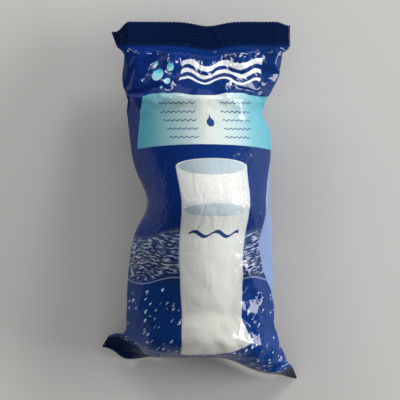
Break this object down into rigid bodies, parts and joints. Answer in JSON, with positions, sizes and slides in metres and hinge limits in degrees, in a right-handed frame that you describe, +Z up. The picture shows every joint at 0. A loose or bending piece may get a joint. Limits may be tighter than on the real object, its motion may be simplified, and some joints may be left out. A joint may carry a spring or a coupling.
{
  "type": "sealed film pack of a pitcher water filter cartridge",
  "caption": "Glossy printed film pack, crimped shut at both ends with a fin seal down its back, drawn tight over a stepped round cartridge inside.",
  "frame": {"origin": "on the floor that the pack lies on, midway along and across its box", "axes": "+Z up from the floor, +Y along the pack towards its top seal, +X to the right seen from above with the top seal away from the viewer"},
  "size_m": [0.0999, 0.1806, 0.0572],
  "materials": {
    "printed_film": "glossy printed plastic film, navy with a pale band, a white figure and blue waves"
  },
  "bodies": {
    "root": {"film_pack": "printed_film"}
  },
  "joints": []
}
